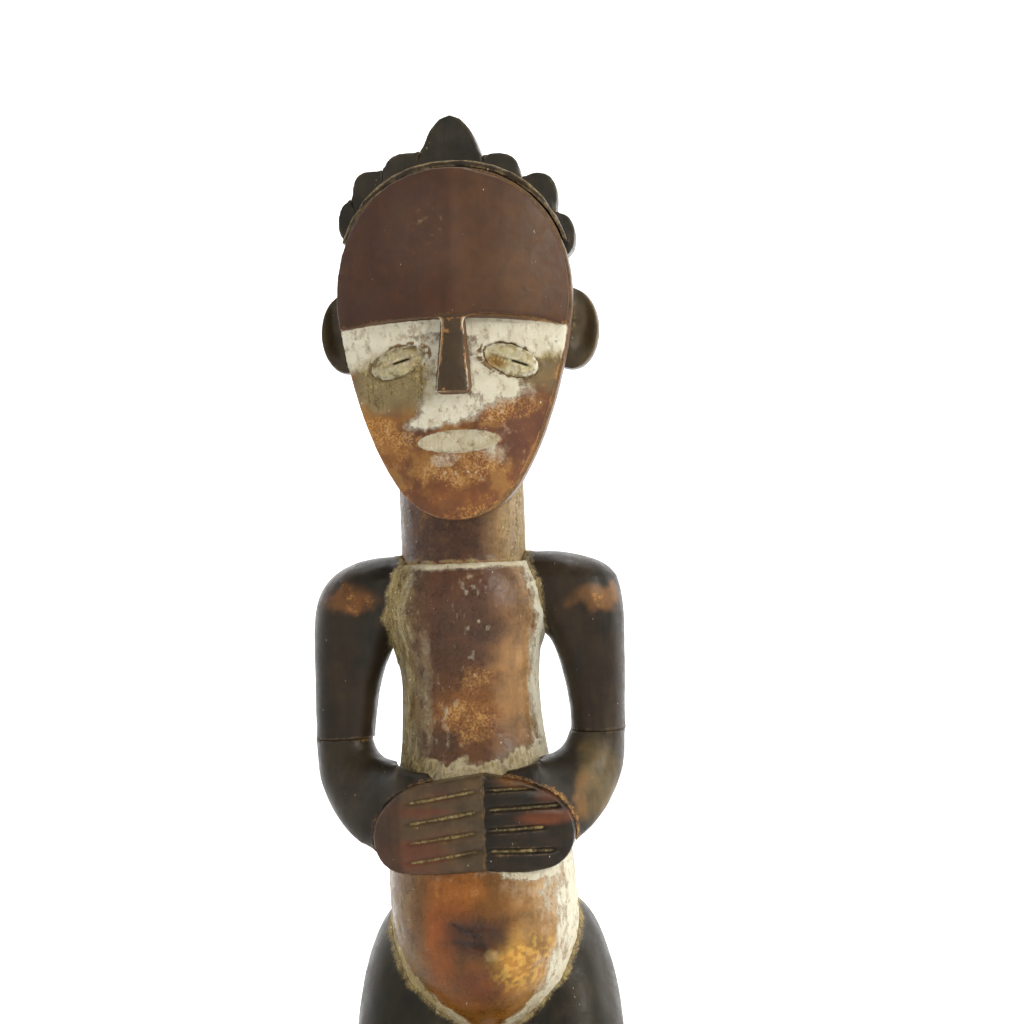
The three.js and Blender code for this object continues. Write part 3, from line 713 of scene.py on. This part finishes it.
def torso():
    b = Block("torso", 0.85, 130, 0.8, ["neck"] + [f"{part}_{side}" for part in LIMBS for side in SIDES])
    x, _, z = b.figure().T
    front = step(-b.normals()[:, 1], -0.1, 0.35)
    back = step(b.normals()[:, 1], 0.2, 0.7)
    crease = carve_navel(b)
    b.cuts(12, 0.22, 61)
    b.push(0.5 * (rough(b.p, 16, 62) - 0.5))

    # clay is packed round the arms, the legs, the hands and the neck, and in a band across the waist
    arms = ["upper_arm_left", "upper_arm_right"]
    legs = ["thigh_left", "thigh_right"]
    hands = ["hand_left", "hand_right", "forearm_left", "forearm_right"]
    blur = 5 * (rough(b.p, 7, 63) - 0.5)
    wisps = rough(b.p, (4, 4, 14), 64)
    fine = rough(b.p, (2.5, 2.5, 5), 67)
    by_arms = 1 - step(distance_to(b.p, arms, 14) + 1.6 * blur + 6 * (fine - 0.5), 1, 8)
    by_legs = 1 - step(distance_to(b.p, legs, 14) + 1.4 * blur + 5 * (fine - 0.5), 2, 10.5)
    by_hands = (1 - step(distance_to(b.p, hands, 9) + 1.6 * blur, 0.5, 5)) * front
    by_hands *= 0.3 + 0.7 * step(x + 3 * blur, -4, 30)
    waist = np.interp(x, [-34, -25, -12, 0, 12, 28, 36], [288, 282.5, 279, 278, 279, 286, 291])
    drips = noise(b.p, (2.2, 2.2, 40), 72)
    waist = (1 - step(z - waist + 1.4 * blur - 4.5 * (drips - 0.5), 2.5, 8)) * step(z, 262, 270) * front
    by_neck = step(z + blur * 0.3, 367.5, 370.5) * (1 - 0.5 * back)
    chest = step(z, 262, 280)
    belly = 1 - step(z, 246, 262)
    # it also thins inwards from the outline, over a wide strip on the right and a narrow one on the left
    levels = [187, 203, 243, 265, 287, 320, 334, 349, 362]
    right_edge = np.interp(z, levels, [-31, -36, -38, -35, -31, -30, -33, -37, -35])
    left_edge = np.interp(z, levels, [39, 44, 44, 39, 35, 32, 34, 37, 35])
    wide = np.interp(z, [200, 250, 290, 345], [24, 22, 19, 23])
    narrow = np.interp(z, [200, 250, 290, 345], [20, 24, 8, 9])
    from_right = np.clip((x - right_edge) / wide, 0, 1)
    from_left = np.clip((left_edge - x) / narrow, 0, 1)
    behind = step(b.normals()[:, 1] + 0.3 * (rough(b.p, 12, 68) - 0.5), -0.05, 0.45)
    right_flank = (1 - 0.62 * belly) * (1 - from_right**1.2)
    left_flank = (0.85 + 0.3 * chest) * (1 - from_left**1.3)
    flank = np.clip(np.maximum(right_flank, left_flank) + 0.9 * (wisps - 0.5), 0, 1)
    flank *= np.maximum(step(1 - from_right, 0, 0.2), step(1 - from_left, 0, 0.2)) * (1 - 0.75 * behind)
    crust = np.maximum.reduce([by_arms, by_legs, 0.8 * by_hands, waist, by_neck]) * (1 - 0.4 * behind)
    thick = step(crust, 0.3, 0.9) * (0.1 + 1.3 * rough(b.p, (2.4, 2.4, 3.2), 65))
    # gold crumbs low on the belly's left
    golden = front * oval(x + blur, z + blur, (23, 198), (14, 9), 35)
    crumbs = golden * step(noise(b.p, 1.6, 75), 0.46, 0.62)
    b.push(0.8 * thick + 0.35 * crumbs)
    b.wear(14, 0.3)

    navel = front * oval(x + blur, z + blur, (2, 209), (14, 10))
    b.tone = layered(
        (86, 54, 31),
        (step(z + 2 * blur, 318, 340), (74, 45, 29)),
        (oval(x + blur, z, (4, 345), (15, 14)) * 0.6, (88, 62, 50)),
        (chest * oval(x + blur, z + blur, (1, 304), (20, 13)) * 0.9, (118, 74, 36)),
        (chest * oval(x + blur, z + blur, (-6, 294), (10, 5)) * 0.7, (74, 50, 32)),
        (belly, (112, 71, 24)),
        (belly * oval(x + blur, z + blur, (-12, 222), (14, 18)), (124, 70, 22)),
        (belly * oval(x + blur, z + blur, (-4, 231), (11, 8)) * 0.5, (142, 84, 26)),
        (belly * oval(x + blur, z + blur, (22, 200), (14, 12)), (180, 136, 62)),
        ((1 - navel) * step(x + 3 * blur, 8, 36) * (0.5 + 0.4 * belly + 0.5 * (wisps - 0.5)), (168, 130, 88)),
        (chest * oval(x + 2 * blur, z + 2 * blur, (24, 322), (11, 20)) * 0.4, (180, 140, 100)),
        ((1 - navel) * step(-x + 2 * blur, 12, 30) * 0.7, (106, 80, 46)),
        (belly * oval(x + blur, z + blur, (2, 188), (12, 9)) * 0.8, (98, 50, 20)),
        (belly * oval(x + blur, z + blur, (-15, 204), (6, 18)) * 0.6, (134, 68, 20)),
        (0.55 * (golden - crumbs), (136, 88, 32)),
        (0.8 * crumbs, (210, 166, 82)),
        (navel * 0.9, (64, 37, 24)),
        (crease * 0.8, (38, 24, 20)),
        (front * oval(x, z, (8, 201.5), (2.6, 2.6)), (150, 122, 78)),
        (behind, (74, 52, 38)),
        (behind * step(rough(b.p, (12, 12, 30), 69), 0.45, 0.65) * 0.7, (104, 72, 46)),
    )
    paint = b.paint
    olive = np.clip((0.85 * by_arms + 0.45 * chest * (1 - from_right)) * step(-x, -30, 10) + 0.25 * waist, 0, 1)
    edges = np.maximum.reduce(
        [
            np.clip(1.5 * by_arms, 0, 1) * (0.55 + 0.5 * wisps),
            np.clip(1.7 * by_legs, 0, 1) * (0.8 + 0.4 * wisps),
            np.clip(1.6 * by_hands, 0, 1) * (0.5 + 0.5 * wisps + 0.2 * step(x, 5, 25)),
            np.clip(1.5 * waist, 0, 1) * (0.65 + 0.45 * wisps),
            0.9 * by_neck,
        ]
    ) * (1 - 0.3 * behind)
    paint["clay"] = np.maximum.reduce(
        [
            edges,
            flank,
            0.42 * belly * front * oval(x, z, (28, 236), (20, 14)),
            0.58 * step(noise(b.p, (1.6, 1.6, 2.6), 73), 0.66, 0.82) * front * oval(x, z, (3, 344), (12, 26)),
            0.58 * step(noise(b.p, (1.8, 1.8, 2.8), 74), 0.62, 0.8) * front * oval(x, z, (-12, 304), (12, 18)),
            0.3 * chest * front * step(x + 2 * blur, 8, 30),
            0.24 * rough(b.p, 25, 66),
        ]
    )
    paint["clay"] *= 1 - 0.6 * navel
    paint["pit"] *= 0.5
    paint["worn"] *= 1 - 0.9 * navel
    belly_right = belly * step(-x, 8, 24)
    dirt = olive + 0.4 - 0.3 * step(x, 22, 34) + 0.15 * by_legs + 0.3 * behind + 0.35 * belly_right
    paint["dirt"] = np.clip(dirt, 0, 1)
    paint["ochre"] = np.maximum.reduce(
        [
            0.5 * crumbs,
            0.22 * front * oval(x + blur, z + blur, (-6, 231), (14, 11)),
            0.6 * front * oval(x + blur, z + blur, (1, 303), (15, 10)),
            0.5 * front * oval(x + blur, z + blur, (4, 320), (9, 7), 40),
            0.1 * front,
        ]
    ) * (1 - 0.7 * navel)
    b.finish("body_wood")


def limb_tone(b, seed, tone, other, *layers):
    """Two stains in long clouds, with more colours over them."""
    b.tone = layered(tone, (step(rough(b.p, (20, 20, 36), seed), 0.3, 0.7), other), *layers)


def upper_arm(word, side, seed):
    b = Block("upper_arm_" + word, 0.9, 140, 1.2, ["torso", "neck", "forearm_" + word])
    b.cuts(13, 0.16, seed)
    b.push(0.4 * (rough(b.p, 20, seed) - 0.5))
    by_torso = 1 - step(distance_to(b.p, ["torso", "neck"], 9) + 3 * (rough(b.p, 5, 7) - 0.5), 0.5, 5)
    b.push(0.7 * by_torso * rough(b.p, 3.2, seed + 1))
    b.wear(14, 0.3)
    f = b.figure()
    paint = b.paint
    wander = 9 * (rough(b.p, 8, seed + 5) - 0.5)
    where, rubbed = ((61, 354), (134, 94, 58)) if side > 0 else ((52, 357), (114, 74, 42))
    corner = oval(side * f[:, 0] + wander, f[:, 2] + wander, where, (11, 5)) * step(-b.normals()[:, 1], 0.1, 0.6)
    limb_tone(b, seed + 2, (36, 31, 26), (48, 38, 30), (corner * 0.8, rubbed))
    elbow = np.exp(-((f[:, 2] - ELBOW_Z - 0.5) ** 2)) * step(rough(b.p, 12, seed + 3), 0.4, 0.6)
    paint["ochre"] = np.maximum(0.5 * corner * step(rough(b.p, 5, seed + 6), 0.3, 0.7), 0.3 * elbow)
    paint["clay"] = np.maximum.reduce([0.8 * by_torso, 0.16 * rough(b.p, 20, seed + 4), 0.3 * elbow])
    paint["worn"] *= 0.6
    paint["pit"] *= step(np.abs(f[:, 2] - ELBOW_Z), 0.8, 3)
    paint["dirt"][:] = 0.75
    b.finish("dark_wood")


def forearm(word, side, seed):
    b = Block("forearm_" + word, 0.85, 140, 1.4, ["upper_arm_" + word, "hand_" + word])
    b.cuts(12, 0.16, seed)
    b.push(0.4 * (rough(b.p, 18, seed) - 0.5))
    b.wear(14, 0.3)
    f = b.figure()
    # a pale patch, partly dust and partly painted sheen of the light from the right, and a rubbed one, on the left
    # forearm only
    toward = -b.normals()[:, 1]
    pale_wash = oval(f[:, 0] + 8 * (rough(b.p, 9, 3) - 0.5), f[:, 2], (57, 274), (8, 17)) * step(toward, -0.1, 0.4)
    rubbed = oval(f[:, 0] + 5 * (rough(b.p, 6, 4) - 0.5), f[:, 2], (49, 268), (3.5, 9)) * step(toward, 0.0, 0.5)
    patches = ((0.8 * pale_wash, (106, 90, 64)), (0.55 * rubbed, (142, 104, 64))) if side > 0 else ()
    limb_tone(b, seed + 2, (36, 31, 26), (50, 42, 33), *patches)
    elbow = np.exp(-((f[:, 2] - ELBOW_Z + 0.8) ** 2)) * step(rough(b.p, 12, seed + 3), 0.4, 0.6)
    cuff = 1 - step(distance_to(b.p, ["hand_" + word], 6) + 2 * (rough(b.p, 5, 9) - 0.5), 0.5, 3.0)
    b.paint["ochre"] = np.maximum(0.3 * elbow, (0.5 if side > 0 else 0.32) * cuff)
    b.paint["clay"] = np.maximum(0.16 * rough(b.p, 20, seed + 4), 0.25 * elbow)
    b.paint["worn"] *= 0.6
    b.paint["pit"] *= step(np.abs(f[:, 2] - ELBOW_Z), 0.8, 3)
    b.paint["dirt"][:] = 0.7
    b.finish("dark_wood")


# The grooves between the fingers, each from (x, z) to (x, z) on the front of the hand.
FINGERS = {
    "right": [
        ((-28, 268.3), (5, 273.6)),
        ((-28, 259.2), (5, 264.4)),
        ((-28, 250.8), (5, 255.4)),
        ((-28, 242), (6, 247.4)),
    ],
    "left": [
        ((7.5, 273.6), (32, 274)),
        ((7.5, 264.9), (42, 265.5)),
        ((7.5, 255.9), (35, 256.4)),
        ((7.5, 247), (39, 245.8)),
    ],
}


def hand(word, side, seed):
    other = "right" if side > 0 else "left"
    b = Block("hand_" + word, 0.5, 160, 0.9, ["torso", "forearm_" + word, "hand_" + other])
    f = b.figure()
    x, z = f[:, 0], f[:, 2]
    front = step(-b.normals()[:, 1], 0.35, 0.7)
    groove = np.zeros(len(x))
    for a, c in FINGERS[word]:
        d, t = to_segment(x, z, a, c)
        groove = np.maximum(groove, np.exp(-((d / 1.3) ** 2)) * (0.5 + 0.5 * step(np.minimum(t, 1 - t), 0, 0.12)))
        groove = np.maximum(groove, 0.3 * np.exp(-((d / 2.6) ** 2)))
    seam = np.exp(-(((x - HANDS_X) / 1.3) ** 2))
    groove = np.clip(groove * (0.75 + 0.5 * rough(b.p, 3, seed + 3)), 0, 1)
    b.push(-2.0 * groove * front - 0.35 * seam * front)
    b.cuts(9, 0.16, seed)
    b.push(0.3 * (rough(b.p, 10, seed) - 0.5))
    b.wear(16, 0.25)
    stripes = step(rough(b.p, (30, 30, 5), seed + 2), 0.35, 0.65)
    if side > 0:
        b.tone = layered(
            (32, 26, 20),
            (stripes * 0.5, (44, 34, 26)),
            (0.8 * oval(x, z, (34, 260.5), (11, 3.2)), (104, 56, 34)),
            (0.8 * oval(x, z, (24, 277.5), (11, 3)), (108, 68, 38)),
            (0.6 * oval(x, z, (36, 270), (6, 3)), (96, 54, 34)),
        )
    else:
        b.tone = layered(
            (76, 60, 47),
            (stripes * step(-x, -2, 12) * 0.8, (92, 54, 42)),
            (step(x, -14, -4) * 0.6, (82, 68, 54)),
            (step(-x, 28, 31) * 0.8, (64, 46, 38)),
        )
    rim = 1 - step(distance_to(b.p, ["forearm_" + word], 5), 0.5, 2.5)
    paint = b.paint
    paint["ochre"] = np.maximum.reduce([0.5 * rim * front, 0.3 * paint["worn"], 0.3 * seam * front])
    paint["clay"] = np.maximum(front * step(groove, 0.5, 0.95) * (0.66 if side > 0 else 0.74), 0.12)
    paint["clay"] = np.maximum(paint["clay"], 0.45 * seam * front)
    paint["dirt"][:] = 0.9
    paint["pit"] *= 0.7
    b.finish("dark_wood")


def thigh(word, seed):
    b = Block("thigh_" + word, 1.1, 140, 1.8, ["torso", "calf_" + word])
    b.cuts(15, 0.22, seed)
    b.push(0.5 * (rough(b.p, 24, seed) - 0.5))
    by_torso = 1 - step(distance_to(b.p, ["torso"], 9) + 3 * (rough(b.p, 5, 8) - 0.5), 0.5, 5)
    b.push(0.8 * by_torso * rough(b.p, 3.2, seed + 1))
    b.wear(14, 0.3)
    limb_tone(b, seed + 2, (31, 28, 21), (46, 40, 30))
    b.paint["clay"] = np.maximum(0.85 * by_torso, 0.16 * rough(b.p, 24, seed + 4))
    b.paint["dirt"][:] = 0.8
    b.paint["ochre"] = 0.35 * by_torso
    b.paint["worn"] *= 0.6
    b.finish("dark_wood")


def calf(word, side, seed):
    b = Block("calf_" + word, 1.0, 120, 1.5, ["thigh_" + word, "base"])
    x, y, z = (b.figure() - np.array([LEGS_X + side * ANKLE_X, 0, 0])).T
    top = step(b.normals()[:, 2] - 0.6 * b.normals()[:, 1], 0.1, 0.5)
    toes = np.zeros(len(x))
    for place in (-8.5, -2.5, 3.5, 9.0):
        offset = x - side * 1.5 + side * place
        toes = np.maximum(toes, np.exp(-((offset / 1.1) ** 2)))
    toes *= (1 - step(y, -36, -31)) * (1 - step(z, 36, 42)) * top
    b.push(-1.6 * toes)
    b.cuts(12, 0.22, seed)
    b.push(0.5 * (rough(b.p, 20, seed) - 0.5))
    b.wear(14, 0.3)
    # the lower calf is paler with dust
    pale_wash = 1 - step(z + 14 * (rough(b.p, 12, seed + 5) - 0.5), 14, 62)
    limb_tone(b, seed + 2, (34, 30, 23), (50, 43, 32), (0.8 * pale_wash, (78, 64, 46)))
    ankle = 1 - step(z, 22, 34)
    b.paint["clay"] = np.maximum(0.12 + 0.14 * pale_wash, 0.6 * toes + 0.25 * ankle)
    b.paint["dirt"][:] = 0.8
    b.paint["ochre"] = np.maximum(0.2 * ankle, 0.3 * b.paint["worn"])
    b.finish("dark_wood")


def base():
    b = Block("base", 1.25, 40, 0.5)
    x, y = b.p[:, 0], b.p[:, 1]
    top = step(b.normals()[:, 2], 0.3, 0.8)
    b.cuts(16, 0.3, 91)
    angle, r = np.arctan2(y, x), np.hypot(x, y)
    crack = np.zeros(len(x))
    for toward, start in ((0.5, 20), (2.3, 34), (-1.0, 30), (-2.6, 12)):
        off = np.abs(np.angle(np.exp(1j * (angle - toward - 0.06 * (noise(b.p, 9, 92) - 0.5))))) * r
        crack = np.maximum(crack, np.exp(-((off / 0.9) ** 2)) * step(r, start, start + 12))
    underside = step(-b.normals()[:, 2], 0.5, 0.9)
    b.push((-1.2 * crack + 0.4 * (rough(b.p, 20, 93) - 0.5)) * (1 - underside))
    b.wear(12, 0.35)
    limb_tone(b, 94, (64, 50, 40), (92, 70, 52))
    feet = 1 - step(distance_to(b.p, ["calf_left", "calf_right"], 9), 0.5, 7)
    b.paint["clay"] = np.maximum(0.2 + 0.2 * top, 0.5 * feet)
    b.paint["dirt"][:] = 0.85
    b.paint["ochre"] = 0.3 * b.paint["worn"]
    b.p[:, 2] = np.maximum(b.p[:, 2], 0.0)
    b.finish("base_wood")


def peg(node):
    b = Block(node, 0.9, 8, 0.3)
    b.push(0.12 * (rough(b.p, (2, 2, 9), 71) - 0.5))
    b.wear(6, 0.2)
    b.tone = srgb(172, 132, 84)
    b.finish("peg_wood")


face_board()
skull()
hair_band()
hair("hair_crest", 101)
neck()
torso()
base()
for word, side in SIDES.items():
    seed = 200 if side > 0 else 300
    cowrie(word, side)
    ear(word, seed + 1)
    for row in (1, 2, 3):
        hair(f"hair_row_{word}_{row}", seed + 10 * row)
    upper_arm(word, side, seed + 50)
    forearm(word, side, seed + 60)
    hand(word, side, seed + 70)
    thigh(word, seed + 80)
    calf(word, side, seed + 90)
for node in sorted(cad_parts):
    if "_peg" in node:
        peg(node)


# ---- Stage, light and camera ----
def sweep():
    """A pale floor that curves up into a wall all round."""
    flat, bend, height, count = 1.6, 1.0, 4.0, 72
    profile = [(flat, 0.0)]
    for i in range(1, 13):
        a = math.pi / 2 * i / 12
        profile.append((flat + bend * math.sin(a), bend - bend * math.cos(a)))
    profile.append((flat + bend, height))
    bowl = bmesh.new()
    rings = []
    for r, z in profile:
        angles = (2 * math.pi * k / count for k in range(count))
        rings.append([bowl.verts.new((r * math.cos(a), r * math.sin(a), z)) for a in angles])
    middle = bowl.verts.new((0, 0, 0))
    for k in range(count):
        bowl.faces.new((middle, rings[0][k], rings[0][(k + 1) % count]))
    for low, high in zip(rings, rings[1:]):
        for k in range(count):
            bowl.faces.new((low[k], low[(k + 1) % count], high[(k + 1) % count], high[k]))
    bmesh.ops.recalc_face_normals(bowl, faces=bowl.faces)
    mesh = bpy.data.meshes.new("sweep")
    bowl.to_mesh(mesh)
    bowl.free()
    smooth(mesh)
    g = Graph("paper")
    tint = g.mix(g.soft(g.noise(160, 2, 0.5), 0.3, 0.7), (0.75, 0.75, 0.75), (0.77, 0.77, 0.77))
    g.feed(g.shader.inputs["Base Color"], tint)
    g.shader.inputs["Roughness"].default_value = 0.9
    g.shader.inputs["Specular IOR Level"].default_value = 0.1
    g.shader.inputs["Emission Color"].default_value = (1, 1, 1, 1)
    place = g.node("ShaderNodeSeparateXYZ", {0: g.place}).outputs
    glow = g.add(g.soft(place["Y"], 0.2, 0.9, 0.0, 0.6), g.soft(place["Z"], 0.2, 1.4, 0.0, 0.05))
    g.feed(g.shader.inputs["Emission Strength"], glow)
    mesh.materials.append(g.material)
    floor = bpy.data.objects.new("sweep", mesh)
    bpy.context.scene.collection.objects.link(floor)


def area_light(name, place, target, size, power, colour=(1, 1, 1)):
    data = bpy.data.lights.new(name, "AREA")
    data.shape = "DISK"
    data.size = size
    data.energy = power
    data.color = colour
    light = bpy.data.objects.new(name, data)
    light.location = place
    light.rotation_mode = "QUATERNION"
    light.rotation_quaternion = (Vector(target) - Vector(place)).to_track_quat("-Z", "Y")
    bpy.context.scene.collection.objects.link(light)


sweep()
WARM = (1.0, 0.95, 0.86)
area_light("key", (1.25, -1.05, 1.1), (0, 0, 0.4), 0.8, 13, WARM)
area_light("side", (1.5, 0.35, 0.7), (0, 0, 0.35), 1.0, 6, WARM)
area_light("fill", (-1.4, -1.5, 0.9), (0, 0, 0.35), 1.4, 0.4, WARM)
area_light("top", (0.1, -0.1, 2.0), (0, 0, 0.3), 1.0, 3, WARM)
area_light("backdrop_light", (0, 0.9, 3.0), (0, 2.4, 0.6), 2.0, 60)

world = bpy.data.worlds.new("studio")
world.use_nodes = True
world.node_tree.nodes["Background"].inputs["Color"].default_value = (*WARM, 1)
world.node_tree.nodes["Background"].inputs["Strength"].default_value = 0.08
bpy.context.scene.world = world
bpy.context.scene.view_settings.view_transform = "Standard"

VIEW_TURN = math.radians(-2)
VIEW_ROLL = math.radians(2.2)
VIEW_DISTANCE = 1.28
look_at = Vector((0.0185, 0.008, 0.3935))
ahead = Vector((math.sin(VIEW_TURN), math.cos(VIEW_TURN), 0))
right = Vector((math.cos(VIEW_TURN), -math.sin(VIEW_TURN), 0))
up = Vector((0, 0, 1))
camera_right = right * math.cos(VIEW_ROLL) - up * math.sin(VIEW_ROLL)
camera_up = right * math.sin(VIEW_ROLL) + up * math.cos(VIEW_ROLL)
camera = bpy.data.objects.new("camera", bpy.data.cameras.new("camera"))
camera.data.lens = 100
camera.data.sensor_width = 36
camera.rotation_mode = "QUATERNION"
camera.rotation_quaternion = Matrix((camera_right, camera_up, -ahead)).transposed().to_quaternion()
camera.location = look_at - ahead * VIEW_DISTANCE
bpy.context.scene.collection.objects.link(camera)
bpy.context.scene.camera = camera
